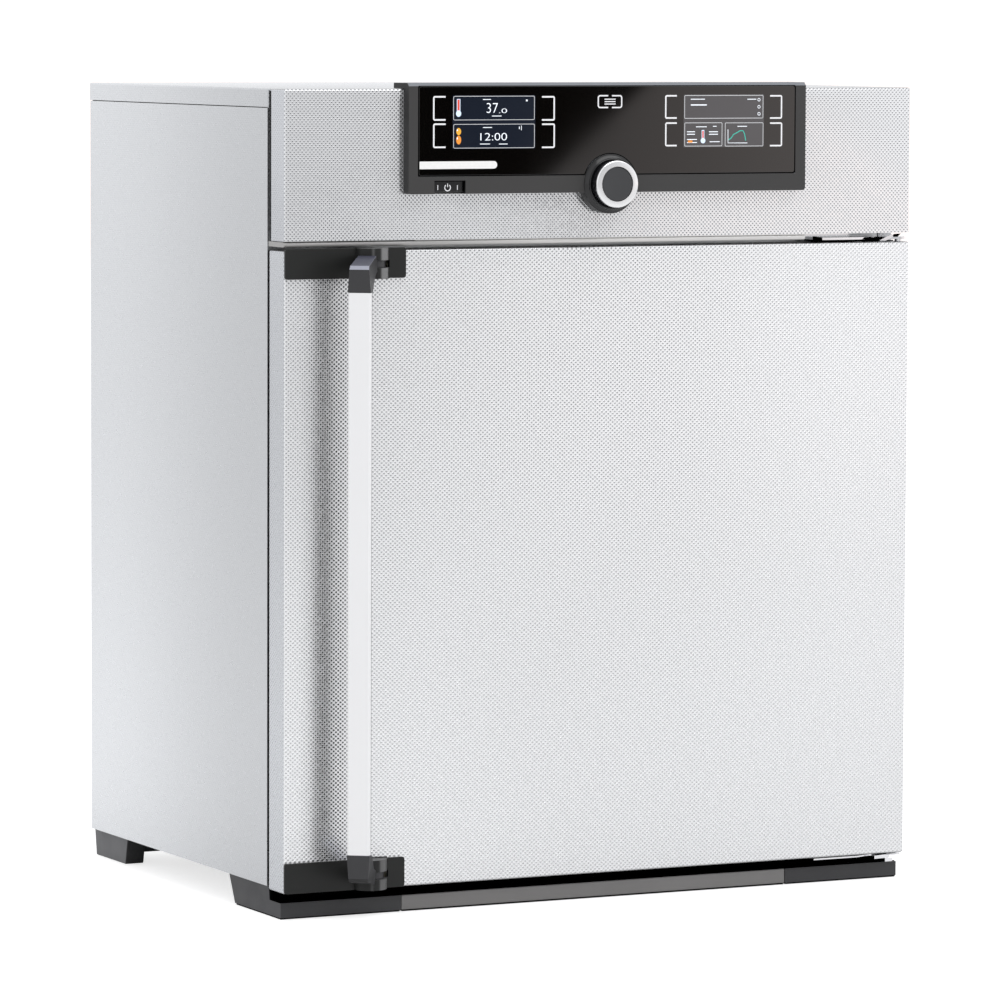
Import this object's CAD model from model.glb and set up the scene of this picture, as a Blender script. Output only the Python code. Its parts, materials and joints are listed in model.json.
import json
import math

import bmesh
import bpy
from mathutils import Matrix, Vector

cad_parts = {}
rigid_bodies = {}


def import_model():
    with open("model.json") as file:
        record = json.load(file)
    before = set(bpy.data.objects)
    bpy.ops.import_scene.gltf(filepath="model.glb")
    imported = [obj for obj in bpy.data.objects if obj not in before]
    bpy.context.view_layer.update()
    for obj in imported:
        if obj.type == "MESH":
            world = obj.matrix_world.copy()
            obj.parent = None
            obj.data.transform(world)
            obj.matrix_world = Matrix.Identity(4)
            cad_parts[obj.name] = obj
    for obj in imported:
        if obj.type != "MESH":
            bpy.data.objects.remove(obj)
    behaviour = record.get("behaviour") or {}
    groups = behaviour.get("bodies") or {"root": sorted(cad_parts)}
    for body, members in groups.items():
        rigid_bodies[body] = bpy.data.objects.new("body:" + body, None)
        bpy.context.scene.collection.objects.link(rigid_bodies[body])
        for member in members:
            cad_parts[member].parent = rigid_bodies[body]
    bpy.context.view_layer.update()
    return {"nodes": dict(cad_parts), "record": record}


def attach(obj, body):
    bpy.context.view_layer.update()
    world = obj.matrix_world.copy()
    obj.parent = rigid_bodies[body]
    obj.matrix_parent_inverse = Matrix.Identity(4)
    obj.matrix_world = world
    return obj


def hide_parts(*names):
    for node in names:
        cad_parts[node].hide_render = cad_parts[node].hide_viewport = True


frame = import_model()
NODES = frame["nodes"]

# Lengths are millimetres in the layout of the cabinet: X to the right, Y to the back from the
# face of the outer door, Z up from the floor. Y_SHIFT moves them into the frame's own origin.
MM = 0.001
Y_SHIFT = -305.52
LAYOUT = Matrix.Translation((0.0, Y_SHIFT * MM, 0.0)) @ Matrix.Diagonal((MM, MM, MM, 1.0))
scene = bpy.context.scene
workshop = bpy.data.collections.new("workshop")
scene.collection.children.link(workshop)

# ------------------------------------------------------------------ camera
FOCAL = 5879.81                        # in pixels of a frame 1000 wide
AZ, EL, ROLL = (math.radians(v) for v in (-26.2698, 4.7562, 0.23468))
BACK = Vector((math.sin(AZ) * math.cos(EL), -math.cos(AZ) * math.cos(EL), math.sin(EL)))
SIDE = Vector((0, 0, 1)).cross(BACK).normalized()
OVER = BACK.cross(SIDE)
RIGHT = SIDE * math.cos(ROLL) + OVER * math.sin(ROLL)
UP = OVER * math.cos(ROLL) - SIDE * math.sin(ROLL)
EYE = RIGHT * -108.0888 + UP * 426.2989 + BACK * 6280.105

lens = bpy.data.cameras.new("camera")
lens.sensor_width = 36.0
lens.sensor_fit = "HORIZONTAL"
lens.lens = FOCAL * 36.0 / 1000.0
lens.clip_start, lens.clip_end = 0.1, 200.0
camera = bpy.data.objects.new("camera", lens)
scene.collection.objects.link(camera)
spot = LAYOUT @ EYE
camera.matrix_world = Matrix((
    (RIGHT.x, UP.x, BACK.x, spot.x), (RIGHT.y, UP.y, BACK.y, spot.y),
    (RIGHT.z, UP.z, BACK.z, spot.z), (0, 0, 0, 1)))
scene.camera = camera


def seen(px, py, y):
    """X and Z where the line of sight of a point of the frame meets the plane at depth y."""
    way = RIGHT * (px - 500.0) + UP * (500.0 - py) - BACK * FOCAL
    hit = EYE + way * ((y - EYE.y) / way.y)
    return hit.x, hit.z


# ------------------------------------------------------------------ node trees
class Tree:
    def __init__(self, name):
        self.mat = bpy.data.materials.new(name)
        self.mat.use_nodes = True
        self.net = self.mat.node_tree
        self.shader = self.net.nodes["Principled BSDF"]
        self.cache = {}

    def node(self, kind, **settings):
        made = self.net.nodes.new(kind)
        for key, value in settings.items():
            setattr(made, key, value)
        return made

    def put(self, socket, value):
        if isinstance(value, bpy.types.NodeSocket):
            self.net.links.new(value, socket)
        elif isinstance(value, (tuple, list)) and len(value) == 3 and socket.type == "RGBA":
            socket.default_value = (*value, 1.0)
        else:
            socket.default_value = value

    def set(self, **inputs):
        for key, value in inputs.items():
            self.put(self.shader.inputs[key.replace("_", " ")], value)
        return self

    def math(self, op, a, b=0.0, c=0.0, clamp=False):
        made = self.node("ShaderNodeMath", operation=op, use_clamp=clamp)
        for socket, value in zip(made.inputs, (a, b, c)):
            self.put(socket, value)
        return made.outputs[0]

    def step(self, value, low, high, a=0.0, b=1.0):
        made = self.node("ShaderNodeMapRange", interpolation_type="SMOOTHSTEP")
        for socket, item in zip(made.inputs, (value, low, high, a, b)):
            self.put(socket, item)
        return made.outputs[0]

    def mix(self, share, a, b, blend="MIX"):
        made = self.node("ShaderNodeMix", data_type="RGBA", blend_type=blend)
        self.put(made.inputs[0], share)
        self.put(made.inputs[6], a)
        self.put(made.inputs[7], b)
        return made.outputs[2]

    def blend(self, share, a, b):
        made = self.node("ShaderNodeMix", data_type="FLOAT")
        for socket, value in zip(made.inputs[:1] + made.inputs[2:4], (share, a, b)):
            self.put(socket, value)
        return made.outputs[0]

    def coords(self):
        if "co" not in self.cache:
            made = self.node("ShaderNodeTexCoord")
            self.cache["co"] = made.outputs["Object"]
            self.cache["no"] = made.outputs["Normal"]
        return self.cache["co"]

    def xyz(self):
        if "xyz" not in self.cache:
            made = self.node("ShaderNodeSeparateXYZ")
            self.put(made.inputs[0], self.coords())
            self.cache["xyz"] = tuple(made.outputs)
        return self.cache["xyz"]

    def facing(self):
        """How far the surface faces along X, Y and Z, each from 0 to 1."""
        if "facing" not in self.cache:
            self.coords()
            made = self.node("ShaderNodeSeparateXYZ")
            self.put(made.inputs[0], self.cache["no"])
            self.cache["facing"] = tuple(self.math("ABSOLUTE", o) for o in made.outputs)
        return self.cache["facing"]

    def normal(self):
        """The surface's own direction along X, Y and Z, each from -1 to 1."""
        if "normal" not in self.cache:
            self.coords()
            made = self.node("ShaderNodeSeparateXYZ")
            self.put(made.inputs[0], self.cache["no"])
            self.cache["normal"] = tuple(made.outputs)
        return self.cache["normal"]

    def noise(self, scale, detail=3.0, rough=0.5, stretch=(1, 1, 1), dim="3D"):
        place = self.node("ShaderNodeMapping")
        self.put(place.inputs[0], self.coords())
        place.inputs["Scale"].default_value = stretch
        made = self.node("ShaderNodeTexNoise", noise_dimensions=dim)
        self.put(made.inputs["Vector"], place.outputs[0])
        made.inputs["Scale"].default_value = scale
        made.inputs["Detail"].default_value = detail
        made.inputs["Roughness"].default_value = rough
        return made.outputs["Fac"]

    def bump(self, height, distance, strength=1.0, normal=None):
        made = self.node("ShaderNodeBump")
        made.inputs["Strength"].default_value = strength
        made.inputs["Distance"].default_value = distance
        self.put(made.inputs["Height"], height)
        if normal is not None:
            self.put(made.inputs["Normal"], normal)
        return made.outputs[0]


def tone(colour, share):
    return tuple(min(1.0, c * share) for c in colour)


def moulded(name, colour, rough, grain=1400.0, depth=0.00004, spread=0.12, coat=0.0, spec=0.5):
    """Moulded plastic: fine spark grain, faint shade and gloss variation."""
    t = Tree(name)
    large = t.noise(9.0, 3.0)
    fine = t.noise(grain, 2.0)
    t.set(Base_Color=t.mix(large, tone(colour, 1 - spread), tone(colour, 1 + spread)),
          Roughness=t.step(t.noise(30.0, 4.0), 0.3, 0.7, rough - 0.04, rough + 0.05),
          Normal=t.bump(fine, depth))
    t.shader.inputs["Specular IOR Level"].default_value = spec
    if coat:
        t.shader.inputs["Coat Weight"].default_value = coat
        t.shader.inputs["Coat Roughness"].default_value = 0.12
    return t.mat


def brushed(name, colour, rough, along="X", metallic=1.0, depth=0.00002, spread=0.06):
    """Metal with a drawn grain along one axis."""
    t = Tree(name)
    stretch = {"X": (0.02, 1, 1), "Y": (1, 0.02, 1), "Z": (1, 1, 0.02)}[along]
    grain = t.noise(1500.0, 4.0, 0.6, stretch)
    cloud = t.noise(7.0, 3.0)
    shade = t.math("ADD", t.math("MULTIPLY", grain, 0.6), t.math("MULTIPLY", cloud, 0.4))
    t.set(Base_Color=t.mix(shade, tone(colour, 1 - spread), tone(colour, 1 + spread)),
          Roughness=t.step(grain, 0.25, 0.75, rough - 0.05, rough + 0.07),
          Metallic=metallic, Normal=t.bump(grain, depth, 0.5))
    return t.mat


def dotted_steel(name, ground, dark, contrast, rough, metallic=0.9, pitch=(5.05, 4.44),
                 depth=0.00022, side_share=0.35, deepen=0.0, fade=0.0, flank=1.0,
                 low=(1.0, 1.0), drift=1.0, deep=None):
    """Stainless sheet rolled with staggered dots; the pattern follows each face's own plane and
    is shallower on the folds at the sides. `deepen` darkens the sheet towards the front, `fade`
    makes the dots fainter towards the right, `flank` is the tone of the folds, `low` gives the
    strength of the dots and the tone of the sheet at the foot of the piece, and `drift` is the
    tone of its left end. `deep` gives the middle and half width of an upright band in which
    the dots are pressed a little deeper."""
    t = Tree(name)
    x, y, z = t.xyz()
    nx, ny, nz = t.facing()
    on_side = t.math("GREATER_THAN", nx, 0.7)
    on_top = t.math("GREATER_THAN", nz, 0.7)
    u = t.blend(on_side, x, y)
    v = t.blend(on_top, z, y)
    cu = t.math("COSINE", t.math("MULTIPLY", u, math.tau / (pitch[0] * MM)))
    cv = t.math("COSINE", t.math("MULTIPLY", v, math.tau / (pitch[1] * MM)))
    wave = t.math("MULTIPLY", cu, cv)
    dot = t.step(wave, 0.05, 0.7)
    cloud = t.noise(5.0, 2.0)
    worn = t.noise(260.0, 3.0)
    share = t.math("MULTIPLY", t.blend(on_side, contrast, contrast * side_share),
                   t.step(x, 0.02, 0.36, 1.0, 1.0 - fade))
    share = t.math("MULTIPLY", share, t.step(z, 0.05, 0.62, low[0], 1.0))
    base = t.mix(cloud, tone(ground, 0.985), tone(ground, 1.015))
    base = t.mix(t.step(z, 0.05, 0.62), tone(ground, low[1]), base)
    if drift < 1.0:
        base = t.mix(t.step(x, -0.34, -0.02, 1.0, 0.0), base, tone(ground, drift))
    if flank < 1.0:
        base = t.mix(t.step(nz, 0.25, 0.6), base, tone(ground, 0.50))
        folded = tuple(ground[i] * flank * (0.985, 1.0, 1.03)[i] for i in range(3))
        base = t.mix(on_side, base, t.mix(t.step(z, 0.05, 0.62), tone(folded, 1.14), folded))
    if deepen:
        base = t.mix(t.step(y, -0.27, 0.22, deepen, 0.0), base, tone(ground, 0.55))
    if deep:
        middle, half = (v * MM for v in deep)
        away = t.math("ABSOLUTE", t.math("SUBTRACT", x, middle))
        band = t.math("MULTIPLY", t.step(away, half * 0.2, half, 1.0, 0.0),
                      t.math("SUBTRACT", 1.0, on_side))
        share = t.blend(band, share, 1.0)
        dot = t.blend(band, dot, t.step(wave, -0.05, 0.52))
        dark = t.mix(band, dark, tone(dark, 0.30))
    t.set(Base_Color=t.mix(t.math("MULTIPLY", dot, share), base, dark),
          Roughness=t.math("ADD", rough, t.step(worn, 0.3, 0.7, -0.03, 0.04)),
          Metallic=metallic, Normal=t.bump(dot, depth))
    return t.mat


def two_tone(name, front, upper, flank, rough, spec=0.3, bright=None):
    """Moulded plastic whose bevels and flanks are polished differently from its face."""
    t = Tree(name)
    nx, ny, nz = t.facing()
    fine = t.noise(1400.0, 2.0)
    cloud = t.noise(9.0, 3.0)
    face = t.mix(cloud, tone(front, 0.92), tone(front, 1.08))
    face = t.mix(t.step(nx, 0.45, 0.75), face, flank)
    face = t.mix(t.step(nz, 0.45, 0.62), face, bright or upper)
    face = t.mix(t.step(nz, 0.84, 0.95), face, upper)
    face = t.mix(t.step(t.normal()[2], -0.45, -0.25, 1.0, 0.0), face, tone(front, 0.35))
    t.set(Base_Color=face, Roughness=t.step(t.noise(30.0, 4.0), 0.3, 0.7, rough - 0.04, rough + 0.05),
          Normal=t.bump(fine, 0.00003))
    t.shader.inputs["Specular IOR Level"].default_value = spec
    return t.mat


def bracket_plastic(name, flat, curved, rough, spec=0.3):
    """Dark moulding: its flat plate is matt, the barrel is smoother and lighter."""
    t = Tree(name)
    x, y, z = t.xyz()
    nx, ny, nz = t.facing()
    fine = t.noise(1400.0, 2.0)
    cloud = t.noise(9.0, 3.0)
    curved = t.mix(t.step(z, 0.1, 0.4), tone(curved, 0.62), curved)
    curved = t.mix(t.step(t.normal()[0], -0.42, -0.12), flat, curved)
    shade = t.mix(t.step(ny, 0.95, 0.995), curved, flat)
    t.set(Base_Color=t.mix(t.math("MULTIPLY", cloud, 0.3), shade, tone(flat, 1.3)),
          Roughness=t.step(t.noise(30.0, 4.0), 0.3, 0.7, rough - 0.04, rough + 0.05),
          Normal=t.bump(fine, 0.00003))
    t.shader.inputs["Specular IOR Level"].default_value = spec
    return t.mat


def strip_finish(name, colour, bright, start, end):
    """Anodised strip, satin at one end and brighter along X towards the other."""
    t = Tree(name)
    x, y, z = t.xyz()
    grain = t.noise(1500.0, 4.0, 0.6, (0.02, 1, 1))
    shade = t.mix(t.step(x, start, end), colour, bright)
    t.set(Base_Color=t.mix(t.math("MULTIPLY", grain, 0.2), shade, tone(colour, 1.3)),
          Roughness=t.step(grain, 0.25, 0.75, 0.37, 0.49), Metallic=0.4,
          Normal=t.bump(grain, 0.00002, 0.5))
    return t.mat


def foot_moulding(name, side, front, foot):
    """Moulded foot: its flank, its front face, and how much lighter it is near the ground."""
    t = Tree(name)
    x, y, z = t.xyz()
    snx, sny, snz = t.normal()
    fine = t.noise(1400.0, 2.0)
    cloud = t.noise(9.0, 3.0)
    shade = t.mix(t.step(sny, -0.7, -0.4, 1.0, 0.0), side, front)
    shade = t.mix(t.step(z, 0.004, 0.024, foot, 0.0), shade, tone(side, 2.4))
    t.set(Base_Color=t.mix(t.math("MULTIPLY", cloud, 0.25), shade, tone(side, 1.25)),
          Roughness=t.step(t.noise(30.0, 4.0), 0.3, 0.7, 0.44, 0.53),
          Normal=t.bump(fine, 0.00004))
    return t.mat


def rim_metal(name, colour, edge):
    """A bright turned face on a black sleeve; the face ends a little behind the front."""
    t = Tree(name)
    x, y, z = t.xyz()
    front = t.step(y, edge, edge + 0.0003, 1.0, 0.0)
    haze = t.noise(40.0, 3.0)
    bright = t.mix(haze, tone(colour, 0.95), tone(colour, 1.04))
    t.set(Base_Color=t.mix(front, (0.010, 0.010, 0.012), bright), Metallic=front,
          Roughness=t.step(haze, 0.3, 0.7, 0.17, 0.23))
    return t.mat


def glossy(name, colour, rough, coat=0.0, metallic=0.0, spec=0.5):
    t = Tree(name)
    haze = t.noise(14.0, 3.0)
    t.set(Base_Color=t.mix(haze, tone(colour, 0.92), tone(colour, 1.08)),
          Roughness=t.step(haze, 0.3, 0.7, rough * 0.85, rough * 1.15), Metallic=metallic)
    t.shader.inputs["Specular IOR Level"].default_value = spec
    if coat:
        t.shader.inputs["Coat Weight"].default_value = coat
        t.shader.inputs["Coat Roughness"].default_value = 0.03
    return t.mat


def lit(name, colour, strength):
    """Ink or light of a screen: even colour with a faint mottle."""
    t = Tree(name)
    haze = t.noise(420.0, 2.0)
    made = t.mix(haze, tone(colour, 0.94), tone(colour, 1.06))
    t.set(Base_Color=made, Emission_Color=made, Emission_Strength=strength)
    t.shader.inputs["Roughness"].default_value = 0.25
    return t.mat


def clear_glass(name):
    t = Tree(name)
    haze = t.noise(6.0, 2.0)
    t.set(Base_Color=t.mix(haze, (0.90, 0.96, 0.94), (0.94, 0.985, 0.97)),
          Roughness=t.step(haze, 0.3, 0.7, 0.01, 0.03))
    t.shader.inputs["Transmission Weight"].default_value = 1.0
    t.shader.inputs["IOR"].default_value = 1.45
    return t.mat


def foam(name):
    t = Tree(name)
    cells = t.noise(420.0, 5.0, 0.7)
    cloud = t.noise(18.0, 4.0)
    t.set(Base_Color=t.mix(cloud, (0.70, 0.65, 0.50), (0.84, 0.80, 0.66)), Roughness=0.92,
          Normal=t.bump(cells, 0.0008))
    return t.mat


def rubber(name, colour=(0.13, 0.13, 0.132)):
    t = Tree(name)
    dust = t.noise(40.0, 4.0)
    t.set(Base_Color=t.mix(dust, tone(colour, 0.85), tone(colour, 1.2)),
          Roughness=t.step(dust, 0.3, 0.7, 0.62, 0.78), Normal=t.bump(t.noise(900.0, 3.0), 0.00005))
    return t.mat


def board_green(name):
    t = Tree(name)
    x, y, z = t.xyz()
    cells = t.node("ShaderNodeTexBrick")
    place = t.node("ShaderNodeMapping")
    place.inputs["Rotation"].default_value = (math.radians(90), 0, 0)
    t.put(place.inputs[0], t.coords())
    t.put(cells.inputs["Vector"], place.outputs[0])
    cells.inputs["Scale"].default_value = 90.0
    cells.inputs["Mortar Size"].default_value = 0.03
    cells.inputs["Color1"].default_value = (0.015, 0.13, 0.055, 1)
    cells.inputs["Color2"].default_value = (0.02, 0.17, 0.075, 1)
    cells.inputs["Mortar"].default_value = (0.05, 0.30, 0.15, 1)
    t.set(Base_Color=cells.outputs["Color"], Roughness=t.step(t.noise(80.0), 0.3, 0.7, 0.38, 0.5),
          Normal=t.bump(cells.outputs["Fac"], 0.00005))
    return t.mat


M = {
    "textured_steel": dotted_steel("dotted_steel", (0.90, 0.905, 0.92), (0.18, 0.185, 0.20),
                                   0.90, 0.15, pitch=(4.45, 4.44), fade=0.2, flank=0.70,
                                   drift=0.93),
    "door_steel": dotted_steel("dotted_door_steel", (0.96, 0.965, 0.98), (0.22, 0.225, 0.24),
                               0.78, 0.27, pitch=(5.2, 4.44), depth=0.00036, fade=0.45,
                               flank=0.63, low=(0.5, 0.86), drift=0.91, deep=(-319.0, 40.0)),
    "side_steel": dotted_steel("dotted_side_steel", (0.77, 0.783, 0.805), (0.42, 0.43, 0.46),
                               0.6, 0.30, pitch=(4.45, 4.44), depth=0.00010, side_share=0.22,
                               deepen=0.52, low=(1.0, 1.12)),
    "plain_steel": brushed("plain_steel", (0.72, 0.73, 0.74), 0.30),
    "chamber_steel": brushed("chamber_steel", (0.74, 0.75, 0.76), 0.26),
    "edge_grey": strip_finish("edge_grey", (0.36, 0.355, 0.35), (0.66, 0.65, 0.64), -0.24, 0.0),
    "strip_lip": strip_finish("strip_lip", (0.42, 0.415, 0.41), (0.70, 0.69, 0.68), -0.22, 0.0),
    "dark_plastic": bracket_plastic("dark_plastic", (0.011, 0.0115, 0.011), (0.21, 0.21, 0.212),
                                    0.42),
    "lever_plastic": two_tone("lever_plastic", (0.046, 0.046, 0.049), (0.052, 0.054, 0.078),
                              (0.026, 0.026, 0.028), 0.38, bright=(0.33, 0.34, 0.40)),
    "grip_bar": moulded("grip_bar", (0.83, 0.83, 0.84), 0.36, spread=0.02),
    "panel_grey": two_tone("panel_grey", (0.050, 0.049, 0.049), (0.15, 0.155, 0.165),
                           (0.003, 0.003, 0.003), 0.40, spec=0.25, bright=(0.17, 0.18, 0.20)),
    "black_glass": glossy("black_glass", (0.0016, 0.0012, 0.0010), 0.03, spec=0.85),
    "display": glossy("display_glass", (0.012, 0.015, 0.024), 0.08),
    "knob_silver": rim_metal("knob_silver", (0.88, 0.88, 0.89), -0.3328),
    "knob_black": glossy("knob_black", (0.008, 0.008, 0.009), 0.14),
    "knob_grey": moulded("knob_grey", (0.036, 0.037, 0.040), 0.34),
    "foot_plastic": foot_moulding("foot_plastic", (0.028, 0.028, 0.031), (0.018, 0.018, 0.019),
                                  0.30),
    "rear_foot_plastic": foot_moulding("rear_foot_plastic", (0.105, 0.106, 0.112),
                                       (0.002, 0.002, 0.002), 0.0),
    "plinth_grey": moulded("plinth_grey", (0.185, 0.180, 0.178), 0.42),
    "black_steel": moulded("black_steel", (0.016, 0.016, 0.018), 0.48, grain=900.0),
    "hinge_chrome": glossy("hinge_chrome", (0.80, 0.80, 0.82), 0.13, metallic=1.0),
    "seal_rubber": rubber("seal_rubber"),
    "insulation": foam("insulation_foam"),
    "clear_glass": clear_glass("clear_glass"),
    "circuit_green": board_green("circuit_green"),
    "sink_aluminium": brushed("sink_aluminium", (0.66, 0.67, 0.68), 0.35, along="Z"),
    "ceramic_white": moulded("ceramic_white", (0.80, 0.80, 0.78), 0.55, spread=0.04),
    "fan_black": moulded("fan_black", (0.03, 0.03, 0.032), 0.42),
    "screw_steel": brushed("screw_steel", (0.60, 0.61, 0.62), 0.28),
    "bar_back": moulded("bar_back", (0.006, 0.006, 0.006), 0.5, spec=0.2),
    "screen_edge": lit("screen_edge", (0.62, 0.63, 0.65), 0.16),
    "ink": lit("panel_ink", (0.80, 0.80, 0.82), 0.14),
    "white_strip": lit("white_strip", (0.84, 0.84, 0.83), 0.05),
    "shadow_gap": glossy("shadow_gap", (0.001, 0.001, 0.001), 0.5, spec=0.0),
    "screen_left": glossy("screen_left", (0.0115, 0.0155, 0.026), 0.06),
    "screen_right": glossy("screen_right", (0.090, 0.086, 0.090), 0.08),
    "screen_white": lit("screen_white", (0.80, 0.84, 0.90), 0.45),
    "screen_pale": lit("screen_pale", (0.62, 0.74, 0.90), 0.35),
    "screen_orange": lit("screen_orange", (0.72, 0.25, 0.03), 0.35),
    "screen_red": lit("screen_red", (0.62, 0.06, 0.035), 0.35),
    "screen_blue": lit("screen_blue", (0.05, 0.25, 0.60), 0.35),
    "screen_amber": lit("screen_amber", (0.72, 0.36, 0.03), 0.35),
    "screen_green": lit("screen_green", (0.04, 0.42, 0.33), 0.35),
}


def link(name, mesh, holder=None):
    obj = bpy.data.objects.new(name, mesh)
    (holder or workshop).objects.link(obj)
    return obj


def made(name, bm):
    bmesh.ops.recalc_face_normals(bm, faces=bm.faces)
    mesh = bpy.data.meshes.new(name)
    bm.to_mesh(mesh)
    bm.free()
    return link(name, mesh)


def add_box(bm, x0, x1, y0, y1, z0, z1):
    verts = bmesh.ops.create_cube(bm, size=1.0)["verts"]
    size = Matrix.Diagonal((x1 - x0, y1 - y0, z1 - z0, 1.0))
    centre = Matrix.Translation(((x0 + x1) / 2, (y0 + y1) / 2, (z0 + z1) / 2))
    bmesh.ops.transform(bm, matrix=centre @ size, verts=verts)
    return verts


def boxes(name, spans):
    bm = bmesh.new()
    for span in spans:
        add_box(bm, *span)
    return made(name, bm)


TURN = {
    "X": Matrix.Rotation(math.radians(90), 4, "Y"),
    "Y": Matrix.Rotation(math.radians(-90), 4, "X"),
    "Z": Matrix.Identity(4),
}


def add_rod(bm, centre, radius, length, axis, sides=32, radius2=None):
    verts = bmesh.ops.create_cone(bm, cap_ends=True, segments=sides, radius1=radius,
                                  radius2=radius if radius2 is None else radius2,
                                  depth=length)["verts"]
    bmesh.ops.transform(bm, matrix=Matrix.Translation(centre) @ TURN[axis], verts=verts)


def rods(name, items, sides=32):
    bm = bmesh.new()
    for centre, radius, length, axis in items:
        add_rod(bm, centre, radius, length, axis, sides)
    return made(name, bm)


SHEET = {
    "XZ": Matrix(((1, 0, 0, 0), (0, 0, -1, 0), (0, 1, 0, 0), (0, 0, 0, 1))),
    "XY": Matrix.Identity(4),
    "YZ": Matrix(((0, 0, 1, 0), (1, 0, 0, 0), (0, 1, 0, 0), (0, 0, 0, 1))),
}


def flat_mesh(name, outline, half, holes=()):
    curve = bpy.data.curves.new(name + "_outline", "CURVE")
    curve.dimensions = "2D"
    curve.fill_mode = "BOTH"
    curve.extrude = half
    for loop in (outline, *holes):
        spline = curve.splines.new("POLY")
        spline.points.add(len(loop) - 1)
        for point, (u, v) in zip(spline.points, loop):
            point.co = (u, v, 0.0, 1.0)
        spline.use_cyclic_u = True
    guide = link(name + "_guide", curve)
    graph = bpy.context.evaluated_depsgraph_get()
    mesh = bpy.data.meshes.new_from_object(guide.evaluated_get(graph))
    bpy.data.objects.remove(guide, do_unlink=True)
    bpy.data.curves.remove(curve)
    return mesh


def prism(name, plane, outline, span, holes=()):
    mesh = flat_mesh(name, outline, (span[1] - span[0]) / 2, holes)
    bm = bmesh.new()
    bm.from_mesh(mesh)
    bpy.data.meshes.remove(mesh)
    bmesh.ops.remove_doubles(bm, verts=bm.verts, dist=0.001)
    if not holes:
        sides = [f for f in bm.faces if abs(f.normal.z) < 0.5 and f.calc_area() > 1e-6]
        bmesh.ops.delete(bm, geom=list(set(bm.faces) - set(sides)), context="FACES")
        bmesh.ops.holes_fill(bm, edges=bm.edges, sides=0)
    middle = (span[0] + span[1]) / 2
    shift = {"XZ": (0, middle, 0), "XY": (0, 0, middle), "YZ": (middle, 0, 0)}[plane]
    bmesh.ops.transform(bm, matrix=Matrix.Translation(shift) @ SHEET[plane], verts=bm.verts)
    return made(name, bm)


def rect(u0, u1, v0, v1):
    return [(u0, v0), (u1, v0), (u1, v1), (u0, v1)]


def round_rect(u0, u1, v0, v1, radius, steps=8):
    points = []
    corners = ((u1 - radius, v0 + radius, -90), (u1 - radius, v1 - radius, 0),
               (u0 + radius, v1 - radius, 90), (u0 + radius, v0 + radius, 180))
    for cu, cv, start in corners:
        for step in range(steps + 1):
            angle = math.radians(start + 90.0 * step / steps)
            points.append((cu + radius * math.cos(angle), cv + radius * math.sin(angle)))
    return points


def circle(cu, cv, radius, sides=48):
    return [(cu + radius * math.cos(math.tau * i / sides),
             cv + radius * math.sin(math.tau * i / sides)) for i in range(sides)]


def turned(name, centre, profile, towards, steps=64):
    bm = bmesh.new()
    verts = [bm.verts.new((r, 0.0, h)) for r, h in profile]
    edges = [bm.edges.new(pair) for pair in zip(verts, verts[1:])]
    if profile[0][0] > 0 and profile[-1][0] > 0:
        edges.append(bm.edges.new((verts[-1], verts[0])))
    bmesh.ops.spin(bm, geom=verts + edges, cent=(0, 0, 0), axis=(0, 0, 1), angle=math.tau,
                   steps=steps, use_merge=True)
    bmesh.ops.remove_doubles(bm, verts=bm.verts, dist=0.0005)
    aim = Vector((0, 0, 1)).rotation_difference(Vector(towards)).to_matrix().to_4x4()
    bmesh.ops.transform(bm, matrix=Matrix.Translation(centre) @ aim, verts=bm.verts)
    return made(name, bm)


def tray(name, x, y, z, open_side, thickness=1.2, bend=2.6, segments=5):
    bm = bmesh.new()
    add_box(bm, *x, *y, *z)
    bmesh.ops.recalc_face_normals(bm, faces=bm.faces)
    axis = {"X": 0, "Y": 1, "Z": 2}[open_side[1]]
    sign = 1.0 if open_side[0] == "+" else -1.0
    gone = max(bm.faces, key=lambda face: sign * face.calc_center_median()[axis])
    bmesh.ops.delete(bm, geom=[gone], context="FACES_ONLY")
    inner = [edge for edge in bm.edges if not edge.is_boundary]
    bmesh.ops.bevel(bm, geom=inner, offset=bend, segments=segments, profile=0.5,
                    affect="EDGES", clamp_overlap=True)
    mesh = bpy.data.meshes.new(name)
    bm.to_mesh(mesh)
    bm.free()
    obj = link(name, mesh)
    shell = obj.modifiers.new("sheet", "SOLIDIFY")
    shell.thickness = thickness
    shell.offset = -1.0
    shell.use_even_offset = True
    shell.use_quality_normals = True
    return obj


def boolean(obj, operation, others):
    for other in others:
        step = obj.modifiers.new(operation.lower(), "BOOLEAN")
        step.operation = operation
        step.solver = "EXACT"
        step.object = other
    return obj


def cut(obj, *others):
    return boolean(obj, "DIFFERENCE", others)


def join(obj, *others):
    return boolean(obj, "UNION", others)


def settle(obj, body, slot, *nodes, finish=None, soft=0.0, segments=2, angle=30.0):
    """Turns a workshop shape into a piece: its modifiers are applied, it goes to the frame's own
    place and origin, its edges are softened, and it rides on a body."""
    bpy.context.view_layer.update()
    graph = bpy.context.evaluated_depsgraph_get()
    mesh = bpy.data.meshes.new_from_object(obj.evaluated_get(graph))
    mesh.transform(LAYOUT @ obj.matrix_world)
    mesh.materials.clear()
    mesh.materials.append(M[finish or slot])
    name = obj.name
    obj.name = name + "_form"
    piece = link(name, mesh, scene.collection)
    if soft:
        weld = piece.modifiers.new("weld", "WELD")
        weld.merge_threshold = 0.000002
        bevel = piece.modifiers.new("soft_edges", "BEVEL")
        bevel.width = soft * MM
        bevel.segments = segments
        bevel.limit_method = "ANGLE"
        bevel.angle_limit = math.radians(angle)
        bevel.use_clamp_overlap = True
        bevel.harden_normals = True
        mesh.shade_smooth()
        mesh.set_sharp_from_angle(angle=math.radians(angle))
    else:
        mesh.shade_smooth()
        mesh.set_sharp_from_angle(angle=math.radians(angle))
    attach(piece, body)
    if nodes:
        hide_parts(*nodes)
    return piece


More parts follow.
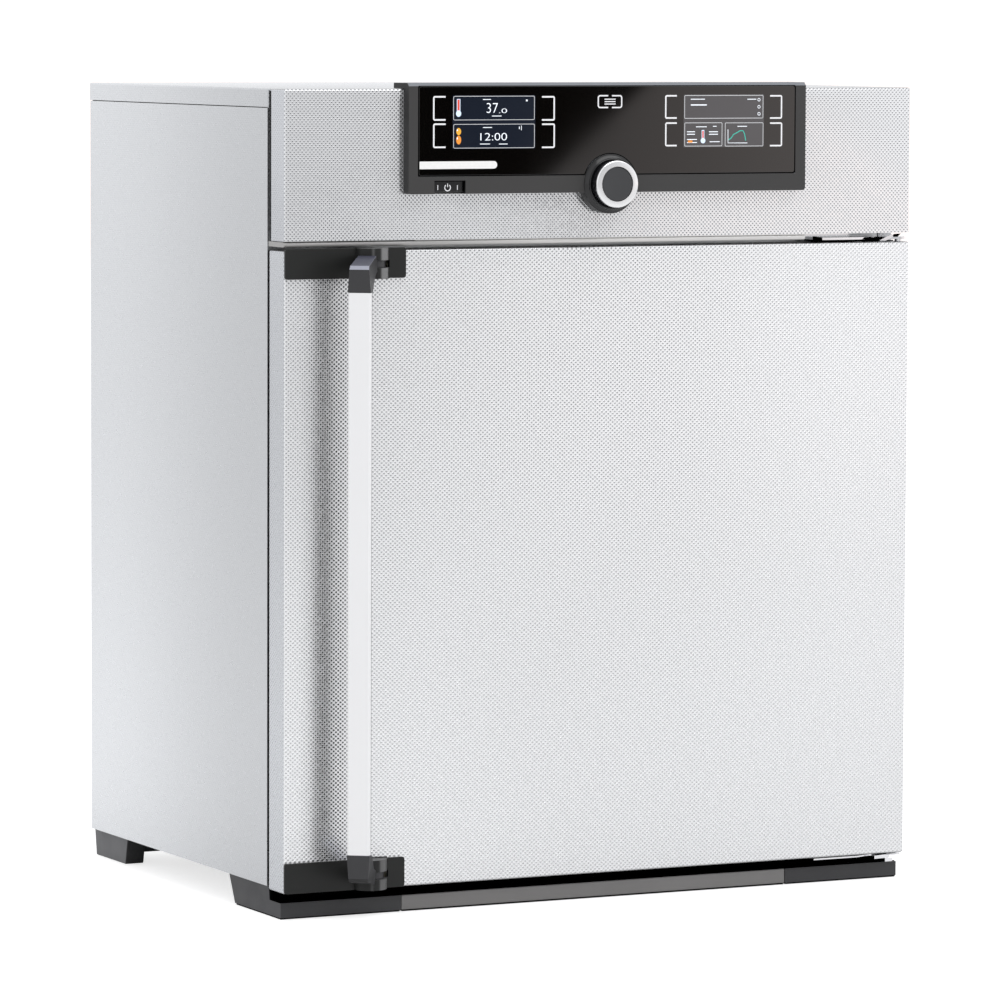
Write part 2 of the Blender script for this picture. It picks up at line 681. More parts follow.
# ------------------------------------------------------------------ casing
def build_casing():
    # Fascia sheet with its two side flanges.
    fascia = tray("fascia_skin", (-372, 372), (0.0, 40.3), (699.0, 864.0), "+Y")
    cut(fascia, *[boxes(f"fascia_trim_{i}", [span]) for i, span in enumerate((
        (-380, 380, -5, 60, 690, 707.0), (-380, -370.7, 32.0, 60, 690, 862.9),
        (370.7, 380, 32.0, 60, 690, 862.9), (-215, 215, -5, 5, 790, 850)))],
        rods("fascia_hole", [((0, 0, 763.7), 7.0, 12.0, "Y")]))
    settle(fascia, "root", "textured_steel", "front_fascia")

    profile = []
    for step in range(17):
        angle = math.radians(90 + 180 * step / 16)
        profile.append((3.0 + 2.7 * math.cos(angle), 703.6 + 2.7 * math.sin(angle)))
    strip = prism("edge_strip", "YZ", profile + [(39.8, 700.9), (39.8, 706.3)], (-371.8, 243.0))
    settle(strip, "root", "edge_grey", "fascia_edge_strip", soft=0.4)
    # Thin lip that closes the joint above the strip, right of the bracket.
    settle(boxes("strip_lip", [(-222.0, 243.0, 0.25, 3.2, 706.34, 706.96)]), "root", "edge_grey",
           finish="strip_lip")

    # Black edge seals that close the slot beside the door's left fold.
    seal = boxes("edge_seal", [(-371.4, -368.0, 36.8, 40.2, 34.0, 696.0),
                               (368.0, 371.4, 36.8, 40.2, 34.0, 696.0)])
    settle(seal, "root", "seal_rubber", finish="shadow_gap")

    # Button-head screws along the flanges of the side panels and the rear panel.
    bm = bmesh.new()
    for side in (-1, 1):
        for z in (80.0, 240.0, 440.0, 640.0, 800.0):
            add_rod(bm, (side * 364.5, 523.1, z), 3.6, 1.2, "Y", 20)
    for x in (-320, -160, 0, 160, 320):
        add_rod(bm, (x, 526.0, 854.0), 3.6, 1.0, "Y", 20)
    screws = made("casing_screws", bm)
    slots = []
    for side in (-1, 1):
        for z in (80.0, 240.0, 440.0, 640.0, 800.0):
            slots.append((side * 364.5 - 2.4, side * 364.5 + 2.4, 523.3, 524.4, z - 0.4, z + 0.4))
            slots.append((side * 364.5 - 0.4, side * 364.5 + 0.4, 523.3, 524.4, z - 2.4, z + 2.4))
    cut(screws, *[boxes(f"screw_slot_{i}", [s]) for i, s in enumerate(slots)])
    settle(screws, "root", "screw_steel", soft=0.3)


def build_base():
    for side, name in ((-1, "left"), (1, "right")):
        a, b = sorted((side * 230.6, side * 369.6))
        foot = boxes(f"front_foot_{name}", [(a, b, 12.0, 43.0, 1.5, 17.0)])
        c, d = sorted((side * 334.0, side * 369.4))
        arm = prism(f"foot_arm_{name}", "YZ",
                    [(30.0, 1.5), (130.7, 1.5), (146.0, 31.7), (43.0, 31.7), (40.5, 16.6),
                     (30.0, 16.6)], (c, d))
        join(foot, arm)
        settle(foot, "root", "foot_plastic", f"front_{name}_foot", soft=1.0, segments=3)
        inner, outer = sorted((side * 232.0, side * 368.8))
        pad = boxes(f"foot_pad_{name}", [(inner, outer, 12.8, 42.2, 0.0, 1.5)])
        join(pad, boxes(f"foot_pad_side_{name}",
                        [(min(side * 335.0, side * 368.6), max(side * 335.0, side * 368.6),
                          30.0, 128.6, 0.0, 1.5)]))
        settle(pad, "root", "seal_rubber", finish="shadow_gap")
        e, f = sorted((side * 340.0, side * 362.0))
        rear = prism(f"rear_foot_{name}", "YZ",
                     [(450.0, 0.0), (534.0, 0.0), (539.0, 31.7), (443.0, 31.7)], (e, f))
        settle(rear, "root", "foot_plastic", f"rear_{name}_foot", finish="rear_foot_plastic",
               soft=1.2, segments=3)
    strip = boxes("plinth_strip", [(-230.2, 230.2, 12.0, 43.0, 1.5, 17.0)])
    settle(strip, "root", "plinth_grey", "front_plinth_strip", soft=1.1, segments=3)
    settle(boxes("plinth_mat", [(-230.0, 230.0, 14.0, 43.2, 17.0, 17.7)]), "root",
           "seal_rubber", finish="shadow_gap")
    settle(boxes("plinth_pad", [(-229.0, 229.0, 12.8, 42.2, 0.0, 1.5)]), "root", "seal_rubber",
           finish="shadow_gap")
    # Black skirt behind the feet, under the bottom plate.
    skirt = boxes("front_skirt", [(-333.4, 333.4, 43.4, 45.2, 9.0, 24.2)])
    settle(skirt, "root", "black_steel", finish="shadow_gap")
    # Black mats on the front feet, raised at the outer ends, below the slot under the door.
    for side, name, top in ((-1, "left", 27.4), (1, "right", 24.2)):
        a, b = sorted((side * 232.0, side * 369.0))
        c, d = sorted((side * 333.8, side * 369.0))
        mat = boxes(f"foot_mat_{name}", [(a, b, 14.0, 40.0, 17.0, 17.7)])
        join(mat, boxes(f"foot_mat_end_{name}", [(c, d, 36.6, 40.0, 17.0, top)]))
        settle(mat, "root", "seal_rubber", finish="shadow_gap")
    bar = boxes("rear_bar", [(-339.6, 339.6, 452.0, 470.0, 12.0, 32.0)])
    settle(bar, "root", "black_steel", "rear_crossbar", soft=0.9, segments=2)


# ------------------------------------------------------------------ control panel
KX, KZ = 0.0, 763.7


def above_knob(radius, level, steps=24):
    reach = math.asin((level - KZ) / radius)
    return [(KX + radius * math.cos(a), KZ + radius * math.sin(a)) for a in
            (math.pi - reach - (math.pi - 2 * reach) * i / steps for i in range(steps + 1))]


def build_panel():
    arc = [math.radians(9.0 * i) for i in range(11)]
    edge = [(-235.6, 870.2)] + [(-232.2 - 3.4 * math.cos(a), 758.1 - 3.4 * math.sin(a)) for a in arc]
    edge += [(231.8 + 3.4 * math.sin(a), 758.1 - 3.4 * math.cos(a)) for a in arc] + [(235.2, 870.2)]
    body = prism("panel_body", "XZ", edge, (-12.0, -0.3))
    lobe = rods("panel_lobe", [((KX, -6.15, KZ), 31.5, 11.68, "Y")], 72)
    wrap = boxes("panel_wrap", [(-235.5, 235.5, -3.0, 25.0, 864.3, 870.1)])
    chamfer = prism("panel_chamfer", "YZ", [(-16.0, 862.8), (-4.6, 874.2), (-16.0, 874.2)],
                    (-300.0, 300.0))
    corners = round_rect(-225.0, 222.9, 772.9, 867.3, 1.6)
    pocket = prism("panel_pocket", "XZ", corners, (-20.0, -9.0))
    pocket_round = rods("panel_pocket_fill", [((KX, -14.4, KZ), 31.5, 12.0, "Y")], 72)
    cut(pocket, pocket_round)
    windows = boxes("panel_recess", [(-206.0, -170.0, -20, -2.4, 740, 768.6)])
    join(body, lobe, wrap)
    cut(body, chamfer, pocket, windows)
    settle(body, "root", "panel_grey", "panel_frame", soft=0.5, segments=3)

    gap = boxes("panel_gap", [(-224.9, 222.8, -9.05, -8.95, 773.0, 867.2)])
    settle(gap, "root", "black_glass", finish="shadow_gap")

    outline = [p for p in round_rect(-223.8, 221.7, 774.1, 866.5, 2.4)]
    glass = prism("panel_window", "XZ", outline, (-12.0, -9.3))
    cut(glass, rods("glass_knob_room", [((KX, -10.0, KZ), 32.3, 12.0, "Y")], 72))
    settle(glass, "root", "black_glass", "panel_glass", soft=0.35, segments=3)

    key = boxes("power_key", [(-205.4, -170.6, -7.5, -3.6, 756.8, 768.0)])
    settle(key, "power_key", "knob_black", "power_button", soft=0.6, segments=3)

    at = (KX, -12.0, KZ)
    collar = turned("knob_skirt", at, [(25.4, 5.0), (26.2, 5.0), (26.7, 4.6), (27.0, 3.8),
                                       (27.8, 2.7), (29.0, 1.8), (30.4, 1.2), (31.2, 0.9),
                                       (31.2, 0.3), (25.4, 0.3)], (0, -1, 0))
    settle(collar, "root", "knob_black", "knob_collar")
    ring = turned("knob_rim", at, [(18.2, 16.6), (18.5, 17.0), (23.4, 17.0), (24.2, 16.7),
                                   (24.7, 16.1), (24.8, 15.2), (24.8, 2.9), (24.5, 2.6),
                                   (18.5, 2.6), (18.2, 2.9)], (0, -1, 0))
    settle(ring, "knob", "knob_silver", "knob_ring", angle=50)
    cap = turned("knob_face", at, [(0.0, 15.6), (9.0, 15.7), (15.4, 16.1), (16.9, 16.2),
                                   (17.6, 15.8), (17.9, 15.0), (17.9, 2.9), (17.4, 2.6),
                                   (0.0, 2.6)], (0, -1, 0))
    settle(cap, "knob", "knob_grey", "knob_cap", angle=50)


# ------------------------------------------------------------------ panel graphics
INK_Y = -12.06


def spot_of(px, py):
    return seen(px, py, INK_Y)


def ribbon(bm, points, width, closed=False, y=INK_Y):
    """A flat line of constant width through points of the XZ plane."""
    pts = [Vector(p) for p in points]
    count = len(pts)
    left, right = [], []
    for i, p in enumerate(pts):
        before = pts[i - 1] if (closed or i > 0) else p
        after = pts[(i + 1) % count] if (closed or i < count - 1) else p
        way = ((p - before).normalized() + (after - p).normalized())
        way = way.normalized() if way.length > 1e-6 else (after - p).normalized()
        across = Vector((-way.y, way.x)) * width / 2
        left.append(bm.verts.new((p.x + across.x, y, p.y + across.y)))
        right.append(bm.verts.new((p.x - across.x, y, p.y - across.y)))
    for i in range(count if closed else count - 1):
        j = (i + 1) % count
        bm.faces.new((left[i], left[j], right[j], right[i]))


def plate(bm, points, y=INK_Y):
    bm.faces.new([bm.verts.new((u, y, v)) for u, v in points])


def px_rect(x0, y0, x1, y1, radius=0.0, steps=5):
    """A frame rectangle as outline points on the panel, its corners rounded in mm."""
    (u0, v1), (u1, _) = spot_of(x0, (y0 + y1) / 2), spot_of(x1, (y0 + y1) / 2)
    v1, v0 = spot_of((x0 + x1) / 2, y0)[1], spot_of((x0 + x1) / 2, y1)[1]
    return round_rect(u0, u1, v0, v1, radius, steps) if radius else rect(u0, u1, v0, v1)


def bracket(bm, x0, y0, x1, y1, opens, width=1.65, radius=1.3):
    """One printed square bracket: opens to the right or to the left."""
    box = px_rect(x0, y0, x1, y1)
    (u0, v0), (u1, v1) = box[0], box[2]
    steps = [math.radians(90 * i / 5) for i in range(6)]
    if opens == "right":
        path = [(u1, v1)] + [(u0 + radius - radius * math.sin(a), v1 - radius + radius * math.cos(a)) for a in steps]
        path += [(u0 + radius - radius * math.cos(a), v0 + radius - radius * math.sin(a)) for a in steps] + [(u1, v0)]
    else:
        path = [(u0, v1)] + [(u1 - radius + radius * math.sin(a), v1 - radius + radius * math.cos(a)) for a in steps]
        path += [(u1 - radius + radius * math.cos(a), v0 + radius - radius * math.sin(a)) for a in steps] + [(u0, v0)]
    ribbon(bm, path, width)


def graphic(name, bm, finish, slot, body="root", *nodes):
    for face in bm.faces:
        face.normal_update()
    turn = [f for f in bm.faces if f.normal.y > 0]
    bmesh.ops.reverse_faces(bm, faces=turn)
    mesh = bpy.data.meshes.new(name)
    bm.to_mesh(mesh)
    bm.free()
    obj = link(name, mesh)
    return settle(obj, body, slot, *nodes, finish=finish)


def text_mesh(bm, body, x0, y0, x1, y1, y=INK_Y):
    """Plain figures fitted to a rectangle of the frame."""
    curve = bpy.data.curves.new("figures", "FONT")
    curve.body = body
    curve.offset = -0.012
    guide = link("figures_guide", curve)
    graph = bpy.context.evaluated_depsgraph_get()
    mesh = bpy.data.meshes.new_from_object(guide.evaluated_get(graph))
    bpy.data.objects.remove(guide, do_unlink=True)
    bpy.data.curves.remove(curve)
    us = [v.co.x for v in mesh.vertices]
    vs = [v.co.y for v in mesh.vertices]
    box = px_rect(x0, y0, x1, y1)
    (u0, v0), (u1, v1) = box[0], box[2]
    su, sv = (u1 - u0) / (max(us) - min(us)), (v1 - v0) / (max(vs) - min(vs))
    made_verts = [bm.verts.new((u0 + (v.co.x - min(us)) * su, y, v0 + (v.co.y - min(vs)) * sv))
                  for v in mesh.vertices]
    for face in mesh.polygons:
        bm.faces.new([made_verts[i] for i in face.vertices])
    bpy.data.meshes.remove(mesh)


def build_graphics():
    bm = bmesh.new()
    for y0, y1 in ((96.8, 119.9), (124.2, 147.3)):
        bracket(bm, 433.8, y0, 445.6, y1, "right")
        bracket(bm, 542.0, y0, 554.2, y1, "left")
    for y0, y1 in ((95.8, 118.0), (123.1, 145.6)):
        bracket(bm, 665.8, y0, 676.8, y1, "right")
        bracket(bm, 770.0, y0, 781.5, y1, "left")
    bracket(bm, 598.3, 95.7, 608.2, 107.5, "right", 1.4, 2.2)
    bracket(bm, 612.0, 95.7, 621.7, 107.5, "left", 1.4, 2.2)
    for row in (99.2, 101.6, 104.0):
        plate(bm, px_rect(604.6, row - 0.5, 615.6, row + 0.5))
    graphic("panel_marks", bm, "ink", "panel_grey")

    bm = bmesh.new()
    box = px_rect(419.6, 161.3, 497.2, 168.9)
    (u0, v0), (u1, v1) = box[0], box[2]
    r = (v1 - v0) / 2
    arc = [(u1 - r + r * math.cos(math.radians(-90 + 15 * i)),
            (v0 + v1) / 2 + r * math.sin(math.radians(-90 + 15 * i))) for i in range(13)]
    plate(bm, [(u0, v0)] + arc + [(u0, v1)])
    graphic("label_strip", bm, "white_strip", "grip_bar")

    # Screens: one piece each, printed flush on the glass over the module behind it.
    bm = bmesh.new()
    plate(bm, px_rect(452.6, 95.2, 535.4, 148.8, 1.0), y=-12.03)
    graphic("left_screen", bm, "screen_left", "display", "root", "left_display")
    bm = bmesh.new()
    plate(bm, px_rect(683.6, 94.4, 763.8, 147.0, 1.0), y=-12.03)
    graphic("right_screen", bm, "screen_right", "display", "root", "right_display")

    bm = bmesh.new()
    for x0, y0, x1, y1 in ((453.6, 96.2, 534.4, 119.8), (453.6, 124.2, 534.4, 147.9)):
        ribbon(bm, px_rect(x0, y0, x1, y1, 1.4), 0.55, closed=True)
    for x0, y0, x1, y1 in ((684.7, 95.4, 763.0, 118.2), (684.7, 122.8, 722.0, 146.0),
                           (725.2, 122.8, 763.0, 146.0)):
        ribbon(bm, px_rect(x0, y0, x1, y1, 1.0), 0.6, closed=True)
    graphic("screen_edges", bm, "screen_edge", "display")

    bm = bmesh.new()
    for x0, x1, y in ((483.0, 491.0, 99.5), (492.0, 501.6, 116.0), (483.0, 492.0, 127.5),
                      (480.0, 490.0, 144.0), (499.0, 507.6, 144.0), (690.8, 705.0, 99.2),
                      (747.4, 756.3, 99.2), (696.0, 706.8, 126.8), (709.6, 719.8, 141.7),
                      (737.5, 747.0, 126.3), (713.0, 716.6, 126.3)):
        plate(bm, px_rect(x0, y - 0.36, x1, y + 0.36))
    plate(bm, px_rect(690.8, 104.4, 706.8, 105.5))
    for x0, x1, y0, y1 in ((687.0, 695.0, 130.5, 135.5), (709.0, 718.0, 130.5, 135.5),
                           (687.0, 697.0, 138.0, 144.0)):
        for row in range(2):
            middle = y0 + (y1 - y0) * (0.25 + 0.5 * row)
            plate(bm, px_rect(x0, middle - 0.4, x1, middle + 0.4))
    graphic("screen_dashes", bm, "screen_white", "display")

    bm = bmesh.new()
    text_mesh(bm, "37", 486.6, 103.0, 498.0, 113.0)
    text_mesh(bm, ".0", 499.0, 108.5, 507.0, 113.0)
    text_mesh(bm, "12:00", 480.4, 133.0, 507.0, 140.4)
    plate(bm, [(u, v) for u, v in circle(*spot_of(526.8, 100.4), 1.1, 12)])
    ribbon(bm, [spot_of(519.4, 126.6), spot_of(519.4, 129.0)], 0.9)
    ribbon(bm, [spot_of(521.4, 125.6), spot_of(521.4, 130.2)], 0.6)
    for y in (99.7, 106.8, 113.8):
        ribbon(bm, [(u, v) for u, v in circle(*spot_of(759.0, y), 1.5, 12)], 0.6, closed=True)
    ribbon(bm, [spot_of(728.0, 129.4), spot_of(728.0, 142.9), spot_of(747.4, 142.9)], 0.7)
    graphic("screen_figures", bm, "screen_white", "display")

    def stem(bm, px, top, bottom, width):
        ribbon(bm, [spot_of(px, top), spot_of(px, bottom)], width)

    def bulb(bm, px, py, rx, rz, y=INK_Y):
        u, v = spot_of(px, py)
        plate(bm, [(u + rx * math.cos(math.tau * i / 18), v + rz * math.sin(math.tau * i / 18))
                   for i in range(18)], y)

    bm = bmesh.new()
    stem(bm, 458.6, 99.0, 112.5, 4.0)
    stem(bm, 703.0, 130.0, 140.0, 3.2)
    graphic("screen_tubes", bm, "screen_pale", "display")
    bm = bmesh.new()
    ribbon(bm, [seen(458.6, 99.6, -12.09), seen(458.6, 111.0, -12.09)], 2.6, y=-12.09)
    ribbon(bm, [seen(703.0, 130.8, -12.09), seen(703.0, 139.0, -12.09)], 1.8, y=-12.09)
    graphic("screen_red_marks", bm, "screen_red", "display")
    bm = bmesh.new()
    bulb(bm, 458.6, 113.6, 3.0, 3.4, -12.1)
    bulb(bm, 703.0, 140.6, 2.9, 2.9, -12.1)
    graphic("screen_blue_marks", bm, "screen_pale", "display")
    bm = bmesh.new()
    bulb(bm, 458.7, 131.6, 2.8, 3.7)
    graphic("screen_amber_marks", bm, "screen_amber", "display")
    bm = bmesh.new()
    bulb(bm, 458.7, 140.0, 2.9, 4.6)
    plate(bm, px_rect(688.0, 140.4, 692.4, 142.6), -12.1)
    graphic("screen_orange_marks", bm, "screen_orange", "display")
    bm = bmesh.new()
    bulb(bm, 457.4, 130.2, 0.7, 1.0, -12.1)
    bulb(bm, 457.3, 138.4, 0.7, 1.2, -12.1)
    graphic("screen_glints", bm, "screen_white", "display")
    bm = bmesh.new()
    ribbon(bm, [spot_of(x, y) for x, y in (
        (728.5, 139.8), (731.0, 138.2), (733.5, 134.5), (737.0, 132.6), (740.0, 130.7),
        (743.0, 130.7), (744.6, 134.0), (745.7, 140.5))], 1.0)
    graphic("screen_green_marks", bm, "screen_green", "display")

    # Power sign and two guide marks on the key in the lower notch.
    key_y = -7.56
    bm = bmesh.new()
    u, v = seen(447.6, 187.7, key_y)
    ring = [(u + 3.3 * math.sin(math.radians(a)), v + 3.3 * math.cos(math.radians(a)))
            for a in range(36, 330, 12)]
    ribbon(bm, ring, 1.0, y=key_y)
    ribbon(bm, [(u, v + 0.7), (u, v + 4.4)], 1.0, y=key_y)
    for px in (437.8, 457.4):
        a, b = seen(px, 187.5, key_y)
        ribbon(bm, [(a, b - 2.5), (a, b + 2.5)], 0.8, y=key_y)
    graphic("power_sign", bm, "ink", "knob_silver", "power_key")


# ------------------------------------------------------------------ door and handle
def build_door():
    shell = tray("door_skin", (-372, 372), (0.0, 36.0), (28.3, 697.3), "+Y")
    cut(shell, boxes("door_notch_0", [(-294.6, -252.6, -5, 19.6, 666.9, 720)]),
        boxes("door_notch_1", [(-294.6, -252.6, -5, 19.6, 10, 61.4)]),
        rods("door_pin_hole_0", [((365, 12, 697), 4.4, 12.0, "Z")]),
        rods("door_pin_hole_1", [((365, 12, 28), 4.4, 12.0, "Z")]))
    settle(shell, "door", "textured_steel", "door_outer_shell", finish="door_steel")


BARREL = (-273.6, 0.0)
LEAN = math.radians(35.0)
REACH = 68.1


def build_handle():
    for name, low, knuckle in (("top", 667.9, (679.3, 686.7)), ("bottom", 28.7, (40.1, 47.5))):
        high = low + 31.7
        mid = low + 15.85
        bracket_form = prism(f"bracket_{name}", "XZ",
                             round_rect(-371.8, -234.0, low, high, 2.8), (-3.0, -0.3))
        lobe = rods(f"bracket_lobe_{name}", [((*BARREL, mid), 18.5, 31.7, "Z")], 72)
        room = rods(f"bracket_room_{name}",
                    [((*BARREL, (knuckle[0] + knuckle[1]) / 2), 19.0,
                      knuckle[1] - knuckle[0] + 0.6, "Z")], 72)
        slot = boxes(f"bracket_slot_{name}",
                     [(-290.0, -253.0, -25.0, 2.0, knuckle[0] - 0.3, knuckle[1] + 0.3)])
        bore = rods(f"bracket_bore_{name}", [((*BARREL, mid), 3.3, 60.0, "Z")], 32)
        join(bracket_form, lobe)
        cut(bracket_form, room, slot)
        cut(bracket_form, bore)
        settle(bracket_form, "door", "dark_plastic", f"handle_bracket_{name}", soft=0.7,
               segments=3)
        pin = rods(f"handle_axle_{name}", [((*BARREL, mid), 3.0, 30.4, "Z")], 32)
        settle(pin, "door", "screw_steel", f"handle_pin_{name}", soft=0.4)

    def lever(name, knuckle, outline):
        bm = bmesh.new()
        near = [bm.verts.new((-11.6, -u, z)) for u, z in outline]
        bm.faces.new(near)
        new = bmesh.ops.extrude_face_region(bm, geom=list(bm.faces))["geom"]
        for vert in new:
            if isinstance(vert, bmesh.types.BMVert):
                vert.co.x += 24.2
        levels = [z for _, z in outline]
        tip = outline[0][1]
        span = max(levels) - min(levels)
        for vert in bm.verts:
            vert.co.x *= 1.0 - 0.22 * abs(vert.co.z - tip) / span
        bmesh.ops.transform(bm, matrix=Matrix.Translation((*BARREL, 0.0))
                            @ Matrix.Rotation(-LEAN, 4, "Z"), verts=bm.verts)
        arm = made(f"lever_{name}", bm)
        middle = (knuckle[0] + knuckle[1]) / 2
        height = knuckle[1] - knuckle[0]
        hub = rods(f"lever_hub_{name}", [((*BARREL, middle), 15.6, height, "Z")], 72)
        web = boxes(f"lever_web_{name}", [(-8.0, 8.0, -24.0, -10.0, -height / 2, height / 2)])
        web.data.transform(Matrix.Translation((*BARREL, middle)) @ Matrix.Rotation(-LEAN, 4, "Z"))
        hook = boxes(f"lever_hook_{name}", [
            (BARREL[0] - 7.0, BARREL[0] + 3.1, 12.0, 31.0, knuckle[0], knuckle[1])])
        bore = rods(f"lever_bore_{name}", [((*BARREL, middle), 3.3, 40.0, "Z")], 32)
        join(arm, hub, web, hook)
        cut(arm, bore)
        settle(arm, "handle", "lever_plastic", f"handle_lever_{name}", soft=1.4, segments=3,
               angle=25)

    lever("top", (679.3, 686.7),
          [(REACH, 656.0), (REACH, 679.5), (REACH - 3.0, 683.5), (20.5, 692.0), (20.5, 676.0),
           (34.0, 672.0), (56.0, 656.0)])
    lever("bottom", (40.1, 47.5),
          [(REACH, 72.7), (REACH, 48.5), (REACH - 3.0, 44.5), (20.5, 36.5), (20.5, 50.5),
           (34.0, 55.0), (56.0, 72.7)])

    # Grip bar: a pale shell over a dark core that shows behind and on the side to the door's
    # edge, as two parts of one profile.
    centre = REACH - 6.0
    turn = Matrix.Translation((BARREL[0] - centre * math.sin(LEAN),
                               BARREL[1] - centre * math.cos(LEAN), 0.0)) \
        @ Matrix.Rotation(-LEAN, 4, "Z")
    whole = round_rect(-11.4, 12.4, -6.0, 6.0, 2.6, 8)
    front = prism("grip_front", "XY", whole, (73.0, 655.7))
    front.data.transform(turn)
    for index, span in enumerate(((-20, 20, 2.0, 20, 60, 670), (-20, -9.4, -3.2, 20, 60, 670))):
        knife = boxes(f"grip_knife_{index}", [span])
        knife.data.transform(turn)
        cut(front, knife)
    settle(front, "handle", "grip_bar", "handle_bar", soft=0.3)
    back = prism("grip_back", "XY", whole, (73.0, 655.7))
    back.data.transform(turn)
    for index, span in enumerate(((-9.42, 20, -20, 2.02, 60, 670), (-20, 20, -20, -3.18, 60, 670))):
        keep = boxes(f"grip_keep_{index}", [span])
        keep.data.transform(turn)
        cut(back, keep)
    settle(back, "handle", "grip_bar", finish="bar_back", soft=0.3)


def build_hinges():
    for name, low, high, up in (("upper", 700.0, 702.6, False), ("lower", 24.6, 26.8, True)):
        outline = [(262.0, 4.0), (316.0, 4.0), (334.0, 10.0), (352.0, 4.5), (360.0, 2.6),
                   (367.0, 3.0), (371.6, 7.0), (372.0, 14.0), (369.0, 19.0), (362.0, 21.5),
                   (350.0, 20.0), (334.0, 28.0), (318.0, 40.0), (262.0, 40.0)]
        arm = prism(f"{name}_hinge_plate", "XY", outline, (low + 0.8 * up, high + 0.4 * up))
        start, end = (high - 1.0, 46.0) if up else (low + 1.0, 680.0)
        pin = rods(f"{name}_hinge_stud",
                   [((365.0, 12.0, (start + end) / 2), 4.0, abs(start - end), "Z")], 40)
        join(arm, pin)
        if up:
            join(arm, boxes("hinge_foot_a", [(270.0, 318.0, 38.0, 90.0, low, high)]),
                 boxes("hinge_foot_b", [(270.0, 318.0, 48.0, 90.0, 25.0, 32.0)]))
        else:
            join(arm, boxes("hinge_tab", [(262.0, 318.0, 38.6, 41.8, low, 720.0)]))
        settle(arm, "root", "hinge_chrome", f"{name}_hinge_arm", soft=0.5)

    # Small fittings in the slot beside the arms: end cap, gliding shim, stop blades and link.
    def fitting(name, points, y0, y1, finish):
        piece = prism(name, "XZ", [seen(px, py, y0) for px, py in points], (y0, y1))
        return settle(piece, "root", "hinge_chrome" if finish == "hinge_chrome" else
                      "dark_plastic", finish=finish, soft=0.15)

    fitting("strip_end_cap", [(812.8, 241.3), (822.4, 240.9), (822.4, 237.4), (812.8, 236.2)],
            3.2, 3.7, "shadow_gap")
    shim = boxes("hinge_shim", [(262.0, 322.0, 4.6, 37.0, 698.3, 699.6)])
    settle(shim, "root", "dark_plastic", finish="shadow_gap", soft=0.1)
    fitting("stop_blade_a", [(861.5, 241.6), (868.5, 237.4), (885.0, 236.8), (879.0, 241.4)],
            1.6, 2.4, "shadow_gap")
    fitting("stop_link", [(879.6, 240.4), (886.4, 236.8), (892.0, 233.9), (893.4, 236.8),
                          (886.0, 240.6)], 0.8, 1.5, "hinge_chrome")
    fitting("stop_blade_b", [(891.2, 237.0), (894.2, 233.9), (900.9, 233.5), (897.6, 236.8)],
            1.6, 2.4, "shadow_gap")
    fitting("stop_foot", [(885.2, 241.2), (885.2, 240.1), (893.2, 239.7), (893.2, 240.9)],
            1.6, 2.4, "shadow_gap")
    fitting("lower_tip", [(874.4, 859.0), (874.4, 855.8), (884.0, 854.4), (890.4, 854.4),
                          (888.6, 857.6), (880.0, 858.4)], 1.4, 2.6, "hinge_chrome")
    fitting("lower_stop", [(877.0, 855.2), (886.0, 853.9), (886.0, 852.9), (877.0, 854.2)],
            1.4, 2.6, "shadow_gap")
    fitting("lower_link", [(885.0, 862.2), (885.0, 858.2), (892.4, 857.8), (892.4, 861.8)],
            13.0, 16.0, "hinge_chrome")


build_casing()
build_base()
build_panel()
build_graphics()
build_door()
build_handle()
build_hinges()

# ------------------------------------------------------------------ carried-over nodes
SLOT_OF = {p["node"]: p["material_slot"] for p in frame["record"]["subparts"]
           if "node" in p and "material_slot" in p}
FINISH = {"left_side_panel": "side_steel", "right_side_panel": "side_steel",
          "top_cover": "side_steel"}
for name, node in NODES.items():
    if node.hide_render:
        continue
    finish = FINISH.get(name) or SLOT_OF.get(name)
    node.data.materials.clear()
    node.data.materials.append(M[finish])

bpy.context.view_layer.update()
for left in list(workshop.objects):
    bpy.data.objects.remove(left, do_unlink=True)
bpy.data.collections.remove(workshop)

# ------------------------------------------------------------------ studio
bm = bmesh.new()
bmesh.ops.create_grid(bm, x_segments=8, y_segments=8, size=14.0)
mesh = bpy.data.meshes.new("floor")
bm.to_mesh(mesh)
bm.free()
floor = bpy.data.objects.new("floor", mesh)
scene.collection.objects.link(floor)
floor.location.z = -0.0004
tree = Tree("studio_floor")
cloud = tree.noise(1.5, 2.0)
fx, fy, fz = tree.xyz()
beside = tree.math("SUBTRACT", tree.math("ABSOLUTE", fx), 0.366)
ahead = tree.math("SUBTRACT", tree.math("ABSOLUTE", tree.math("ADD", fy, 0.032)), 0.262)
clear = tree.step(tree.math("MAXIMUM", beside, ahead), -0.02, 0.006)
ray = tree.node("ShaderNodeLightPath").outputs["Is Camera Ray"]
clear = tree.math("MAXIMUM", clear, ray)
glow = tree.blend(ray, 0.22, 0.68)
tree.set(Base_Color=tree.mix(cloud, (0.60, 0.60, 0.60), (0.64, 0.64, 0.64)), Roughness=0.75,
         Emission_Color=(1.0, 1.0, 1.0), Emission_Strength=tree.math("MULTIPLY", clear, glow))
tree.shader.inputs["Specular IOR Level"].default_value = 0.2
mesh.materials.append(tree.mat)

world = bpy.data.worlds.new("studio")
scene.world = world
world.use_nodes = True
net = world.node_tree
net.nodes.clear()


def wnode(kind, **settings):
    new = net.nodes.new(kind)
    for key, value in settings.items():
        setattr(new, key, value)
    return new


def wmath(op, a, b=0.0, clamp=False):
    new = wnode("ShaderNodeMath", operation=op, use_clamp=clamp)
    for socket, value in zip(new.inputs, (a, b)):
        if isinstance(value, bpy.types.NodeSocket):
            net.links.new(value, socket)
        else:
            socket.default_value = value
    return new.outputs[0]


